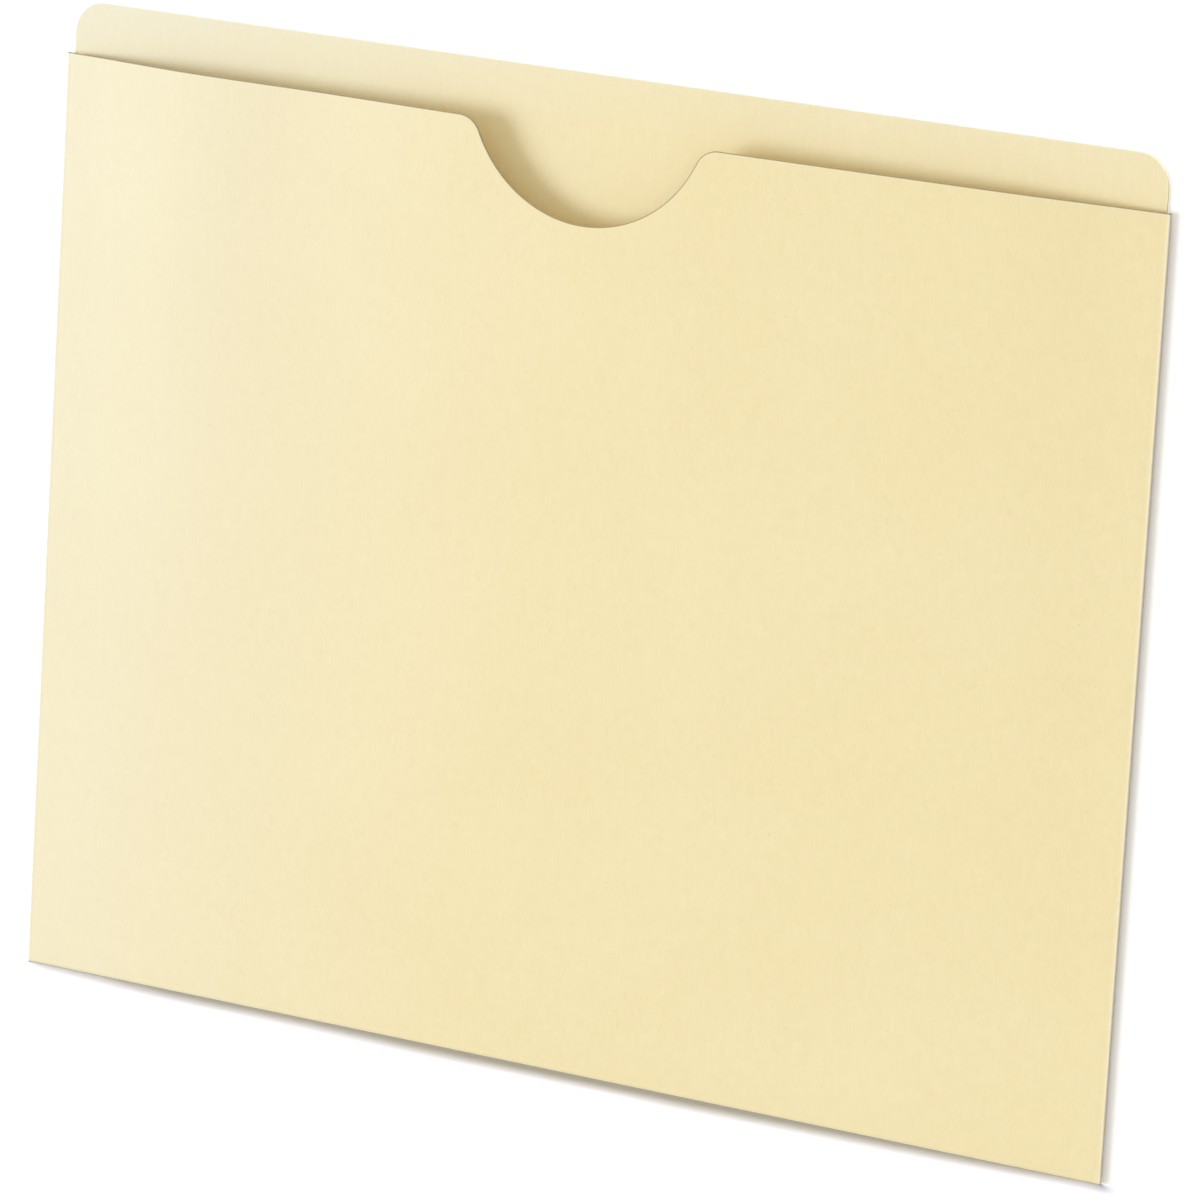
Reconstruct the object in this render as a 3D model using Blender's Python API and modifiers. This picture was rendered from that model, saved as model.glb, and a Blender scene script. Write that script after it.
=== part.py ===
"""File jacket: a flat manila pocket with glued sides, a folded bottom, a thumb cut and a full-width tab.

The jacket stands upright on its bottom fold: X is its width, Z runs up to the tab, and the front faces -Y.
The origin is under the middle of the jacket's box. All lengths are in metres.
"""

import math

import bmesh
import bpy
from mathutils import Matrix

# Stock
SHEET = 0.00028
CLEARANCE = 0.0003
GLUE_FILM = 0.0001

# Panels
JACKET_WIDTH = 0.29845
FRONT_HEIGHT = 0.2283
TAB_HEIGHT = 0.013
TAB_INSET = 0.0015
TAB_CORNER_RADIUS = 0.0079

# Thumb cut
THUMB_RADIUS = 0.0325
THUMB_DEPTH = 0.0222
THUMB_SHOULDER_RADIUS = 0.0062

# Side flaps and their glue
FLAP_WIDTH = 0.019
FLAP_RELIEF = 0.003
FLAP_TAPER = 0.009
GLUE_WIDTH = 0.011
GLUE_MARGIN = 0.006

# How far the front panel stands forward at the mouth, and how that is shared out:
# across the mouth from left to right, and up the panel from the bottom fold
MOUTH_GAPE = 0.0057
BOW_ACROSS = (0.0, 0.67, 0.69, 0.93, 1.0, 0.93, 0.75, 0.5, 0.0)
BOW_UP = (0.0, 0.22, 0.46, 0.73, 1.0)

# Mesh fineness
PANEL_COLUMNS = 48
PANEL_ROWS = 24
ARC_STEPS = 12
THUMB_STEPS = 28

# Finish of the stock and of the dry adhesive
MANILA = (0.89, 0.76, 0.45, 1.0)
MANILA_ROUGHNESS = 0.6
ADHESIVE = (0.82, 0.76, 0.6, 1.0)
ADHESIVE_ROUGHNESS = 0.35

# Depths: front sheet, flap and back sheet lie one behind the other, with the clearance between them
PLY_PITCH = SHEET + CLEARANCE
CLOSED_DEPTH = 2 * PLY_PITCH + SHEET
FRONT_FACE_Y = (MOUTH_GAPE - CLOSED_DEPTH) / 2
FRONT_Y = FRONT_FACE_Y + SHEET / 2
FLAP_Y = FRONT_Y + PLY_PITCH
BACK_Y = FLAP_Y + PLY_PITCH
GLUE_Y = (FLAP_Y + BACK_Y) / 2

# Folds: each rolls from the outer face of one sheet to the outer face of the sheet that it joins
BOTTOM_FOLD_RADIUS = CLOSED_DEPTH / 2
SIDE_FOLD_RADIUS = (PLY_PITCH + SHEET) / 2

# Edges of the sheets
PANEL_FOOT_Z = BOTTOM_FOLD_RADIUS + CLEARANCE
FRONT_HALF_WIDTH = JACKET_WIDTH / 2 - SIDE_FOLD_RADIUS - CLEARANCE
BACK_HALF_WIDTH = JACKET_WIDTH / 2 - TAB_INSET
HINGE_Z = BOTTOM_FOLD_RADIUS + CLEARANCE / 2

# The thumb cutter passes the flat sheet on both sides, and its faces are welded where they meet
CUTTER_THICKNESS = 8 * SHEET
WELD_DISTANCE = 0.000001

UPRIGHT = math.radians(90)
HALF_TURN = math.pi


def clear_scene():
    """Remove every object that the file opened with."""
    for obj in list(bpy.data.objects):
        bpy.data.objects.remove(obj, do_unlink=True)


def new_collection(name):
    """Add a collection to the scene."""
    collection = bpy.data.collections.new(name)
    bpy.context.scene.collection.children.link(collection)
    return collection


def new_material(name, colour, roughness):
    """A plain matt material."""
    material = bpy.data.materials.new(name)
    material.use_nodes = True
    shader = material.node_tree.nodes["Principled BSDF"]
    shader.inputs["Base Color"].default_value = colour
    shader.inputs["Roughness"].default_value = roughness
    shader.inputs["Metallic"].default_value = 0.0
    return material


def arc(centre_x, centre_y, radius, start, end, steps):
    """Points along an arc, both ends included."""
    points = []
    for step in range(steps + 1):
        angle = start + (end - start) * step / steps
        points.append((centre_x + radius * math.cos(angle), centre_y + radius * math.sin(angle)))
    return points


def plate(name, outline, thickness, material, collection):
    """A flat outline filled on both sides, extruded evenly about its own plane."""
    curve = bpy.data.curves.new(name, "CURVE")
    curve.dimensions = "2D"
    curve.fill_mode = "BOTH"
    curve.extrude = thickness / 2
    spline = curve.splines.new("POLY")
    spline.points.add(len(outline) - 1)
    for point, (x, y) in zip(spline.points, outline):
        point.co = (x, y, 0.0, 1.0)
    spline.use_cyclic_u = True
    curve.materials.append(material)
    obj = bpy.data.objects.new(name, curve)
    collection.objects.link(obj)
    return obj


def stand(obj, y, parent):
    """Turn a plate drawn in its own plane upright, at this depth."""
    obj.rotation_euler = (UPRIGHT, 0.0, 0.0)
    obj.location = (0.0, y, 0.0)
    obj.parent = parent
    return obj


def rolled_strip(name, radius, length, material, collection):
    """Half of a rolled tube of the stock, open towards +Y in its own plane and extruded along its own Z."""
    outer = arc(0.0, 0.0, radius, HALF_TURN, 2 * HALF_TURN, ARC_STEPS)
    inner = arc(0.0, 0.0, radius - SHEET, 2 * HALF_TURN, HALF_TURN, ARC_STEPS)
    return plate(name, outer + inner, length, material, collection)


def back_panel(material, collection, parent):
    """Flat back sheet that rises past the front as the tab, with both tab corners rounded."""
    top = FRONT_HEIGHT + TAB_HEIGHT
    side = BACK_HALF_WIDTH
    radius = TAB_CORNER_RADIUS
    outline = [(-side, PANEL_FOOT_Z), (side, PANEL_FOOT_Z)]
    outline += arc(side - radius, top - radius, radius, 0.0, HALF_TURN / 2, ARC_STEPS)
    outline += arc(radius - side, top - radius, radius, HALF_TURN / 2, HALF_TURN, ARC_STEPS)
    return stand(plate("back_panel", outline, SHEET, material, collection), BACK_Y, parent)


def bottom_fold(material, collection, parent):
    """Rolled crease between the feet of the front and back sheets, as wide as the back sheet."""
    obj = rolled_strip("bottom_fold", BOTTOM_FOLD_RADIUS, 2 * BACK_HALF_WIDTH, material, collection)
    obj.matrix_local = (
        Matrix.Translation((0.0, (FRONT_Y + BACK_Y) / 2, BOTTOM_FOLD_RADIUS))
        @ Matrix.Rotation(UPRIGHT, 4, "Z")
        @ Matrix.Rotation(UPRIGHT, 4, "X")
    )
    obj.parent = parent
    return obj


def side_fold(name, side, material, collection, parent):
    """Rolled crease from the front sheet's side edge back to its flap.

    side is -1 on the left and 1 on the right.
    """
    length = FRONT_HEIGHT - PANEL_FOOT_Z
    obj = rolled_strip(name, SIDE_FOLD_RADIUS, length, material, collection)
    obj.rotation_euler = (0.0, 0.0, side * UPRIGHT)
    obj.location = (
        side * (JACKET_WIDTH / 2 - SIDE_FOLD_RADIUS),
        (FRONT_Y + FLAP_Y) / 2,
        PANEL_FOOT_Z + length / 2,
    )
    obj.parent = parent
    return obj


def side_flap(name, side, material, collection, parent):
    """Flap turned in behind the front sheet, with both ends tapered towards its free edge."""
    fold_x = side * FRONT_HALF_WIDTH
    free_x = side * (FRONT_HALF_WIDTH - FLAP_WIDTH)
    low = PANEL_FOOT_Z + FLAP_RELIEF
    high = FRONT_HEIGHT - FLAP_RELIEF
    outline = [(fold_x, low), (fold_x, high), (free_x, high - FLAP_TAPER), (free_x, low + FLAP_TAPER)]
    return stand(plate(name, outline, SHEET, material, collection), FLAP_Y, parent)


def glue_line(name, side, material, collection, parent):
    """Strip of adhesive with round ends along the middle of a flap, between it and the back sheet."""
    x = side * (FRONT_HALF_WIDTH - FLAP_WIDTH / 2)
    radius = GLUE_WIDTH / 2
    low = PANEL_FOOT_Z + FLAP_RELIEF + FLAP_TAPER + GLUE_MARGIN + radius
    high = FRONT_HEIGHT - FLAP_RELIEF - FLAP_TAPER - GLUE_MARGIN - radius
    outline = arc(x, high, radius, 0.0, HALF_TURN, ARC_STEPS)
    outline += arc(x, low, radius, HALF_TURN, 2 * HALF_TURN, ARC_STEPS)
    return stand(plate(name, outline, GLUE_FILM, material, collection), GLUE_Y, parent)


def thumb_outline():
    """Outline of the thumb cut: a round bowl whose rim runs into the mouth over two rounded shoulders.

    The shoulder arcs touch both the mouth line and the bowl's circle, and the outline closes above the mouth.
    """
    bowl_z = FRONT_HEIGHT - THUMB_DEPTH + THUMB_RADIUS
    shoulder_z = FRONT_HEIGHT - THUMB_SHOULDER_RADIUS
    reach = THUMB_RADIUS + THUMB_SHOULDER_RADIUS
    shoulder_x = math.sqrt(reach**2 - (bowl_z - shoulder_z) ** 2)
    lean = math.atan2(bowl_z - shoulder_z, shoulder_x)
    above = FRONT_HEIGHT + THUMB_SHOULDER_RADIUS
    outline = [(-shoulder_x, above)]
    outline += arc(-shoulder_x, shoulder_z, THUMB_SHOULDER_RADIUS, HALF_TURN / 2, lean, ARC_STEPS)
    outline += arc(0.0, bowl_z, THUMB_RADIUS, HALF_TURN + lean, 2 * HALF_TURN - lean, THUMB_STEPS)[1:-1]
    outline += arc(shoulder_x, shoulder_z, THUMB_SHOULDER_RADIUS, HALF_TURN - lean, HALF_TURN / 2, ARC_STEPS)
    outline.append((shoulder_x, above))
    return outline[::-1]


def thumb_cutter(material, collection):
    """Closed mesh of the thumb cut, thick enough to pass right through the flat front sheet."""
    drawn = plate("thumb_outline", thumb_outline(), CUTTER_THICKNESS, material, collection)
    stand(drawn, FRONT_Y, None)
    bpy.context.view_layer.update()
    graph = bpy.context.evaluated_depsgraph_get()
    mesh = bpy.data.meshes.new_from_object(drawn.evaluated_get(graph))
    shape = bmesh.new()
    shape.from_mesh(mesh)
    bmesh.ops.remove_doubles(shape, verts=shape.verts, dist=WELD_DISTANCE)
    bmesh.ops.recalc_face_normals(shape, faces=shape.faces)
    shape.to_mesh(mesh)
    shape.free()
    cutter = bpy.data.objects.new("thumb_cutter", mesh)
    cutter.matrix_world = drawn.matrix_world
    collection.objects.link(cutter)
    bpy.data.objects.remove(drawn, do_unlink=True)
    cutter.hide_render = True
    cutter.display_type = "WIRE"
    return cutter


def bow_lattice(collection):
    """Cage over the flat front sheet whose points carry the forward bow, none at the sides and the foot."""
    columns = len(BOW_ACROSS)
    rows = len(BOW_UP)
    cage = bpy.data.lattices.new("front_bow")
    cage.points_u = columns
    cage.points_v = 2
    cage.points_w = rows
    cage.interpolation_type_u = "KEY_CATMULL_ROM"
    cage.interpolation_type_v = "KEY_LINEAR"
    cage.interpolation_type_w = "KEY_CATMULL_ROM"
    obj = bpy.data.objects.new("front_bow", cage)
    obj.location = (0.0, FRONT_Y, (PANEL_FOOT_Z + FRONT_HEIGHT) / 2)
    obj.scale = (2 * FRONT_HALF_WIDTH / (columns - 1), 1.0, (FRONT_HEIGHT - PANEL_FOOT_Z) / (rows - 1))
    for index, point in enumerate(cage.points):
        column = index % columns
        row = index // (2 * columns)
        point.co_deform.y -= MOUTH_GAPE * BOW_ACROSS[column] * BOW_UP[row]
    collection.objects.link(obj)
    obj.hide_render = True
    obj.display_type = "WIRE"
    return obj


def front_panel(material, collection, cutters, parent):
    """Front sheet: a flat grid of the stock, cut for the thumb and bowed forward towards the mouth.

    Its origin lies on the crease that it swings about.
    """
    height = FRONT_HEIGHT - PANEL_FOOT_Z
    placed = Matrix.Translation((0.0, 0.0, PANEL_FOOT_Z + height / 2 - HINGE_Z))
    sized = Matrix.Diagonal((FRONT_HALF_WIDTH, height / 2, 1.0, 1.0))
    shape = bmesh.new()
    bmesh.ops.create_grid(
        shape,
        x_segments=PANEL_COLUMNS,
        y_segments=PANEL_ROWS,
        size=1.0,
        matrix=placed @ Matrix.Rotation(UPRIGHT, 4, "X") @ sized,
    )
    mesh = bpy.data.meshes.new("front_panel")
    shape.to_mesh(mesh)
    shape.free()
    mesh.materials.append(material)
    obj = bpy.data.objects.new("front_panel", mesh)
    obj.location = (0.0, FRONT_Y, HINGE_Z)
    obj.parent = parent
    collection.objects.link(obj)

    shell = obj.modifiers.new("stock", "SOLIDIFY")
    shell.thickness = SHEET
    shell.offset = 0.0
    cut = obj.modifiers.new("thumb_cut", "BOOLEAN")
    cut.operation = "DIFFERENCE"
    cut.object = thumb_cutter(material, cutters)
    bow = obj.modifiers.new("bow", "LATTICE")
    bow.object = bow_lattice(cutters)
    return obj


def main():
    """Build the jacket."""
    clear_scene()
    jacket = new_collection("file_jacket")
    cutters = new_collection("cutters")
    frame = bpy.data.objects.new("jacket_frame", None)
    jacket.objects.link(frame)

    def stock(node):
        """The manila of one sheet."""
        return new_material(f"{node}_manila", MANILA, MANILA_ROUGHNESS)

    def adhesive(node):
        """The dry adhesive of one seam."""
        return new_material(f"{node}_adhesive", ADHESIVE, ADHESIVE_ROUGHNESS)

    front_panel(stock("front_panel"), jacket, cutters, frame)
    back_panel(stock("back_panel"), jacket, frame)
    bottom_fold(stock("bottom_fold"), jacket, frame)
    for name, side in (("left", -1), ("right", 1)):
        side_fold(f"{name}_side_fold", side, stock(f"{name}_side_fold"), jacket, frame)
        side_flap(f"{name}_side_flap", side, stock(f"{name}_side_flap"), jacket, frame)
        glue_line(f"{name}_glue_line", side, adhesive(f"{name}_glue_line"), jacket, frame)


main()
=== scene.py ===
"""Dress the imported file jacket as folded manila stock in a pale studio."""

import logging
import math
from collections.abc import Callable, Mapping, Sequence
from dataclasses import dataclass, field
from enum import Enum

import bpy
import numpy as np
from mathutils import Matrix, Vector


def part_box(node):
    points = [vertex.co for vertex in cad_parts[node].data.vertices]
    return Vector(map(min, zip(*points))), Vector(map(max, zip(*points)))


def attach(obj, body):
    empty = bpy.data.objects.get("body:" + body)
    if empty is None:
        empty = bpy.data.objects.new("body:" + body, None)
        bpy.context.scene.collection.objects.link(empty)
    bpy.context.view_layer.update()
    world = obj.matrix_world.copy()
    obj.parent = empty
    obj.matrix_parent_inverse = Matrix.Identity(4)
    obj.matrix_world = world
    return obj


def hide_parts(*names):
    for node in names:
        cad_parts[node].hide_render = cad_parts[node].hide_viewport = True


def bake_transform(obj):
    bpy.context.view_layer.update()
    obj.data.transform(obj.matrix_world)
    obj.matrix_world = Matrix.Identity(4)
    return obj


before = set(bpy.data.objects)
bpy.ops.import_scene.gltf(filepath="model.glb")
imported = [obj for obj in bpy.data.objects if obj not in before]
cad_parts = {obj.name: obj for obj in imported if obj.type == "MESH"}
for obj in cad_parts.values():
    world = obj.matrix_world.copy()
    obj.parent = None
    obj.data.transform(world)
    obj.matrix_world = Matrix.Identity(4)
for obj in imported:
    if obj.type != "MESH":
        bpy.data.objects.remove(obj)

LOG = logging.getLogger("file_jacket")
MM = 0.001
QUARTER_TURN = math.pi / 2
HALF_TURN = math.pi
SHARP_ANGLE = math.radians(35.0)
ROUNDING = 1e-9
SAME_PLACE = 1e-7
BLACK = (0.0, 0.0, 0.0, 1.0)
WHITE = (1.0, 1.0, 1.0, 1.0)

Colour = tuple[float, float, float]
Point = tuple[float, float, float]
MIDDLE: Point = (0.0, 0.0, 0.12)


class Body(Enum):
    """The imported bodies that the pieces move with."""

    POCKET = "pocket"
    FRONT = "front"


class Side(Enum):
    """The jacket's two hands, as seen from its front."""

    LEFT = -1
    RIGHT = 1

    @property
    def word(self) -> str:
        """The hand as it stands in the names of pieces."""
        return self.name.lower()


class Slot(Enum):
    """The record's material slots."""

    MANILA = "manila"
    ADHESIVE = "adhesive"


class Measure(Enum):
    """Distances along the stock that a blank carries to its finish."""

    FOLD = "from_fold"
    EDGE = "from_edge"


def rgba(colour: Colour) -> tuple[float, float, float, float]:
    """Give a colour its full alpha."""
    return (*colour, 1.0)


def spread(start: float, stop: float, step: float) -> list[float]:
    """Rule a stretch into equal parts, none longer than a step.

    Args:
        start: Where the stretch starts.
        stop: Where it ends.
        step: The longest part.

    Returns:
        The places of the parts' ends, both ends of the stretch included.
    """
    parts = max(1, math.ceil((stop - start) / step - ROUNDING))
    return [float(place) for place in np.linspace(start, stop, parts + 1)]


def rising(places: Sequence[float]) -> list[float]:
    """Sort places upwards and drop those that repeat."""
    ordered = sorted(places)
    return ordered[:1] + [there for here, there in zip(ordered, ordered[1:]) if there - here > SAME_PLACE]


class Value:
    """A number that runs through a node tree and takes Python's operators."""

    def __init__(self, tree: "Tree", socket: bpy.types.NodeSocket) -> None:
        """Wrap a socket of a tree."""
        self.tree = tree
        self.socket = socket

    def __add__(self, other: "Value | float") -> "Value":
        """Add."""
        return self.tree.math("ADD", self, other)

    __radd__ = __add__

    def __sub__(self, other: "Value | float") -> "Value":
        """Subtract."""
        return self.tree.math("SUBTRACT", self, other)

    def __rsub__(self, other: float) -> "Value":
        """Subtract from a number."""
        return self.tree.math("SUBTRACT", other, self)

    def __mul__(self, other: "Value | float") -> "Value":
        """Multiply."""
        return self.tree.math("MULTIPLY", self, other)

    __rmul__ = __mul__

    def __truediv__(self, other: "Value | float") -> "Value":
        """Divide."""
        return self.tree.math("DIVIDE", self, other)

    def __neg__(self) -> "Value":
        """Turn the sign."""
        return self.tree.math("MULTIPLY", self, -1.0)

    def __abs__(self) -> "Value":
        """Drop the sign."""
        return self.tree.math("ABSOLUTE", self)

    def least(self, other: "Value | float") -> "Value":
        """Take the lesser of two numbers."""
        return self.tree.math("MINIMUM", self, other)

    def most(self, other: "Value | float") -> "Value":
        """Take the greater of two numbers."""
        return self.tree.math("MAXIMUM", self, other)

    def sign(self) -> "Value":
        """Keep the sign alone."""
        return self.tree.math("SIGN", self)

    def sine(self) -> "Value":
        """Take the sine of an angle."""
        return self.tree.math("SINE", self)

    def cosine(self) -> "Value":
        """Take the cosine of an angle."""
        return self.tree.math("COSINE", self)

    def below(self, limit: float) -> "Value":
        """Give 1 where the number lies below a limit, else 0."""
        return self.tree.math("LESS_THAN", self, limit)

    def ramp(self, low: float, high: float) -> "Value":
        """Rise smoothly from 0 to 1 between two levels.

        Args:
            low: The level at which the result is 0.
            high: The level at which the result is 1.

        Returns:
            The eased share.
        """
        ends = {"Value": self, "From Min": low, "From Max": high}
        node = self.tree.add("ShaderNodeMapRange", {"interpolation_type": "SMOOTHSTEP"}, ends)
        return Value(self.tree, node.outputs["Result"])


class Tree:
    """A node tree that is written as calls."""

    def __init__(self, nodes: bpy.types.NodeTree) -> None:
        """Take over a tree, emptied of its nodes."""
        self.nodes = nodes
        nodes.nodes.clear()

    def add(
        self,
        kind: str,
        settings: Mapping[str, object] | None = None,
        sockets: Mapping[str | int, object] | None = None,
    ) -> bpy.types.Node:
        """Add a node.

        Args:
            kind: The node's type.
            settings: What is set on the node first; "points" are a curve's.
            sockets: Values or links for its inputs, by name or place.

        Returns:
            The node.
        """
        node = self.nodes.nodes.new(kind)
        for name, value in (settings or {}).items():
            if name == "points":
                self._draw_curve(node, value)
            else:
                setattr(node, name, value)
        for key, value in (sockets or {}).items():
            self.feed(node.inputs[key], value)
        return node

    @staticmethod
    def _draw_curve(node: bpy.types.Node, points: Sequence[tuple[float, float]]) -> None:
        """Lay a curve node's line through points.

        Args:
            node: The curve node.
            points: Where the line passes, from its start to its end.
        """
        line = node.mapping.curves[0].points
        for place, level in points[1:-1]:
            line.new(place, level)
        line[0].location = points[0]
        line[-1].location = points[-1]
        node.mapping.update()

    def feed(self, socket: bpy.types.NodeSocket, value: object) -> None:
        """Link an input or set it.

        Args:
            socket: The input.
            value: A socket or a wrapped number to link, or a plain value to set.
        """
        if isinstance(value, Value):
            value = value.socket
        if isinstance(value, bpy.types.NodeSocket):
            self.nodes.links.new(value, socket)
        else:
            socket.default_value = value

    def value(self, kind: str, output: str | int, settings: Mapping[str, object] | None = None,
              sockets: Mapping[str | int, object] | None = None) -> Value:
        """Add a node and wrap one of its outputs as a number."""
        return Value(self, self.add(kind, settings, sockets).outputs[output])

    def math(self, operation: str, *terms: "Value | float") -> Value:
        """Add one step of arithmetic."""
        return self.value("ShaderNodeMath", 0, {"operation": operation}, dict(enumerate(terms)))

    def split(self, vector: bpy.types.NodeSocket) -> tuple[Value, Value, Value]:
        """Part a vector into its three numbers."""
        node = self.add("ShaderNodeSeparateXYZ", None, {0: vector})
        return tuple(Value(self, output) for output in node.outputs)

    def join(self, x: "Value | float", y: "Value | float", z: "Value | float") -> bpy.types.NodeSocket:
        """Make a vector of three numbers."""
        return self.add("ShaderNodeCombineXYZ", None, {0: x, 1: y, 2: z}).outputs[0]

    def mix(self, share: "Value | float", first: object, second: object) -> bpy.types.NodeSocket:
        """Mix two colours.

        Args:
            share: How much of the second colour shows.
            first: A colour or a colour socket.
            second: A colour or a colour socket.

        Returns:
            The mixed colour.
        """
        settings = {"data_type": "RGBA", "clamp_factor": True}
        return self.add("ShaderNodeMix", settings, {0: share, 6: first, 7: second}).outputs[2]

    def noise(self, vector: bpy.types.NodeSocket, scale: float, detail: float = 3.0,
              roughness: float = 0.5) -> Value:
        """Add a cloudy number around one half.

        Args:
            vector: Where it is read.
            scale: Clouds to the metre.
            detail: Octaves of finer clouds.
            roughness: How strong the finer clouds are.

        Returns:
            The number, from 0 to 1.
        """
        sockets = {"Vector": vector, "Scale": scale, "Detail": detail, "Roughness": roughness}
        return self.value("ShaderNodeTexNoise", 0, None, sockets)

    def turned(self, vector: bpy.types.NodeSocket, angle: float, scale: Point) -> bpy.types.NodeSocket:
        """Turn a pattern in the plane of the panels and stretch it.

        Args:
            vector: Where the pattern is read.
            angle: The turn about the jacket's depth, in degrees.
            scale: Repeats to the metre along each way.

        Returns:
            The place in the pattern.
        """
        turn = self.add("ShaderNodeMapping", None, {
            "Vector": vector, "Rotation": (0.0, math.radians(angle), 0.0)})
        return self.add("ShaderNodeVectorMath", {"operation": "MULTIPLY"}, {
            0: turn.outputs[0], 1: scale}).outputs[0]

    def distance(self, measure: Measure) -> Value:
        """Read a distance that a blank carries."""
        return self.value("ShaderNodeAttribute", "Fac", {"attribute_name": measure.value})

    def sight(self) -> tuple[Value, Value]:
        """Tell the rays by which a surface is seen.

        Returns:
            1 for the camera's own rays, and 1 for those and the mirrored and transmitted ones.
        """
        path = self.add("ShaderNodeLightPath")
        direct = Value(self, path.outputs["Is Camera Ray"])
        mirrored = Value(self, path.outputs["Is Glossy Ray"])
        return direct, direct.most(mirrored).most(Value(self, path.outputs["Is Transmission Ray"]))

    def dress(self, colour: bpy.types.NodeSocket, roughness: Value, specular: float,
              relief: Mapping[str, object]) -> None:
        """End a material's tree with a reflecting surface.

        Args:
            colour: The surface's colour.
            roughness: How matt it is.
            specular: How strongly it mirrors.
            relief: The inputs of its bump.
        """
        bump = self.add("ShaderNodeBump", None, relief)
        surface = self.add("ShaderNodeBsdfPrincipled", None, {
            "Base Color": colour, "Roughness": roughness, "Specular IOR Level": specular,
            "Normal": bump.outputs[0]})
        self.add("ShaderNodeOutputMaterial", None, {"Surface": surface.outputs[0]})


def new_material(name: str) -> tuple[bpy.types.Material, Tree]:
    """Make a material with an empty tree.

    Args:
        name: The material's name.

    Returns:
        The material and its tree.
    """
    material = bpy.data.materials.new(name)
    material.use_nodes = True
    return material, Tree(material.node_tree)


@dataclass(frozen=True)
class Manila:
    """Buff card: cloudy formation, grain up the sheet, fibres, flecks, folds and lips paler by wear and a
    painted highlight, a painted sheen at the upper left and on the tab, and painted shade along the front's
    lip.
    """

    name: str = "manila_card"
    lip_shade_strength: float = 0.0
    deep: Colour = (0.850, 0.714, 0.384)
    pale: Colour = (0.930, 0.820, 0.502)
    fibre: Colour = (0.66, 0.50, 0.24)
    fleck: Colour = (0.44, 0.30, 0.13)
    # Pale colour of wear and of the painted highlight on folds and lips.
    wear_and_highlight_colour: Colour = (0.98, 0.95, 0.82)
    # Dark colour of the painted shade along the front's lip.
    lip_shade_colour: Colour = (0.24, 0.18, 0.08)
    # Cool white of the painted sheen.
    painted_sheen: Colour = (0.81, 0.91, 0.97)
    roughness: float = 0.55
    specular: float = 0.45
    tooth: float = 0.02 * MM
    cloud_scale: float = 19.0
    formation_scale: float = 330.0
    grain_lean: float = 1.5
    grain_scale: Point = (2300.0, 2300.0, 300.0)
    fibre_scale: Point = (5200.0, 900.0, 380.0)
    fibre_ways: tuple[tuple[float, float], ...] = ((8.0, 0.66), (-34.0, 0.69), (62.0, 0.71))
    fleck_scale: float = 210.0
    fleck_share: float = 0.13
    fleck_size: tuple[float, float] = (0.015, 0.05)
    fold_wear_and_highlight: tuple[float, float] = (0.45 * MM, 0.80 * MM)
    edge_wear_and_highlight: tuple[float, float] = (0.05 * MM, 0.55 * MM)
    lip_shade_reach: tuple[float, float] = (0.14 * MM, 0.30 * MM)
    tab_line: float = 226.0 * MM

    def material(self) -> bpy.types.Material:
        """Build the card's material.

        Returns:
            The material.
        """
        material, tree = new_material(self.name)
        place = tree.add("ShaderNodeTexCoord").outputs["Object"]
        cloud = tree.noise(place, self.cloud_scale, 3.0)
        formation = tree.noise(place, self.formation_scale, 4.0, 0.6)
        grain = tree.noise(tree.turned(place, self.grain_lean, self.grain_scale), 1.0, 2.0)
        fibres = self._fibres(tree, place)
        edge = tree.distance(Measure.EDGE)
        wear_and_highlight = self._wear_and_highlight(tree.distance(Measure.FOLD), edge) * (0.45 + formation)
        # A dark band along the front's cut lip: painted shade of the gap behind the lip.
        rim = 1 - edge.ramp(*self.lip_shade_reach)

        tone = 0.5 + (cloud - 0.5) * 0.5 + (formation - 0.5) * 0.55 + (grain - 0.5) * 0.5
        colour = tree.mix(tone, rgba(self.deep), rgba(self.pale))
        colour = tree.mix(fibres * 0.16, colour, rgba(self.fibre))
        colour = tree.mix(self._flecks(tree, place), colour, rgba(self.fleck))
        # Paler folds and lips: partly wear, partly a painted highlight on the folds.
        colour = tree.mix(wear_and_highlight * 0.85, colour, rgba(self.wear_and_highlight_colour))
        # Painted sheen: the card is mixed towards a cool white at the upper left and on the tab.
        colour = tree.mix(self._painted_sheen_share(tree, place), colour, rgba(self.painted_sheen))
        colour = tree.mix(rim * self.lip_shade_strength, colour, rgba(self.lip_shade_colour))

        matt = self.roughness + (formation - 0.5) * 0.16 + wear_and_highlight * 0.2
        height = formation * 0.5 + grain * 0.5 + fibres * 0.6
        tree.dress(colour, matt, self.specular, {
            "Strength": 0.5, "Distance": self.tooth, "Height": height})
        return material

    def _fibres(self, tree: Tree, place: bpy.types.NodeSocket) -> Value:
        """Lay short fine fibres three ways across the sheet, most of them up it.

        Args:
            tree: The material's tree.
            place: Where the fibres are read.

        Returns:
            1 on a fibre, else 0.
        """
        found: Value | None = None
        for angle, level in self.fibre_ways:
            streak = tree.noise(tree.turned(place, angle, self.fibre_scale), 1.0, 1.0)
            line = streak.ramp(level, level + 0.05)
            found = line if found is None else found.most(line)
        return found

    def _flecks(self, tree: Tree, place: bpy.types.NodeSocket) -> Value:
        """Scatter sparse dark flecks of bark.

        Args:
            tree: The material's tree.
            place: Where the flecks are read.

        Returns:
            How much of a fleck shows.
        """
        cells = tree.add("ShaderNodeTexVoronoi", {"voronoi_dimensions": "3D"}, {
            "Vector": place, "Scale": self.fleck_scale})
        chance = tree.split(cells.outputs["Color"])[0]
        near = 1 - Value(tree, cells.outputs["Distance"]).ramp(*self.fleck_size)
        return near * chance.below(self.fleck_share) * 0.45

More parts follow.
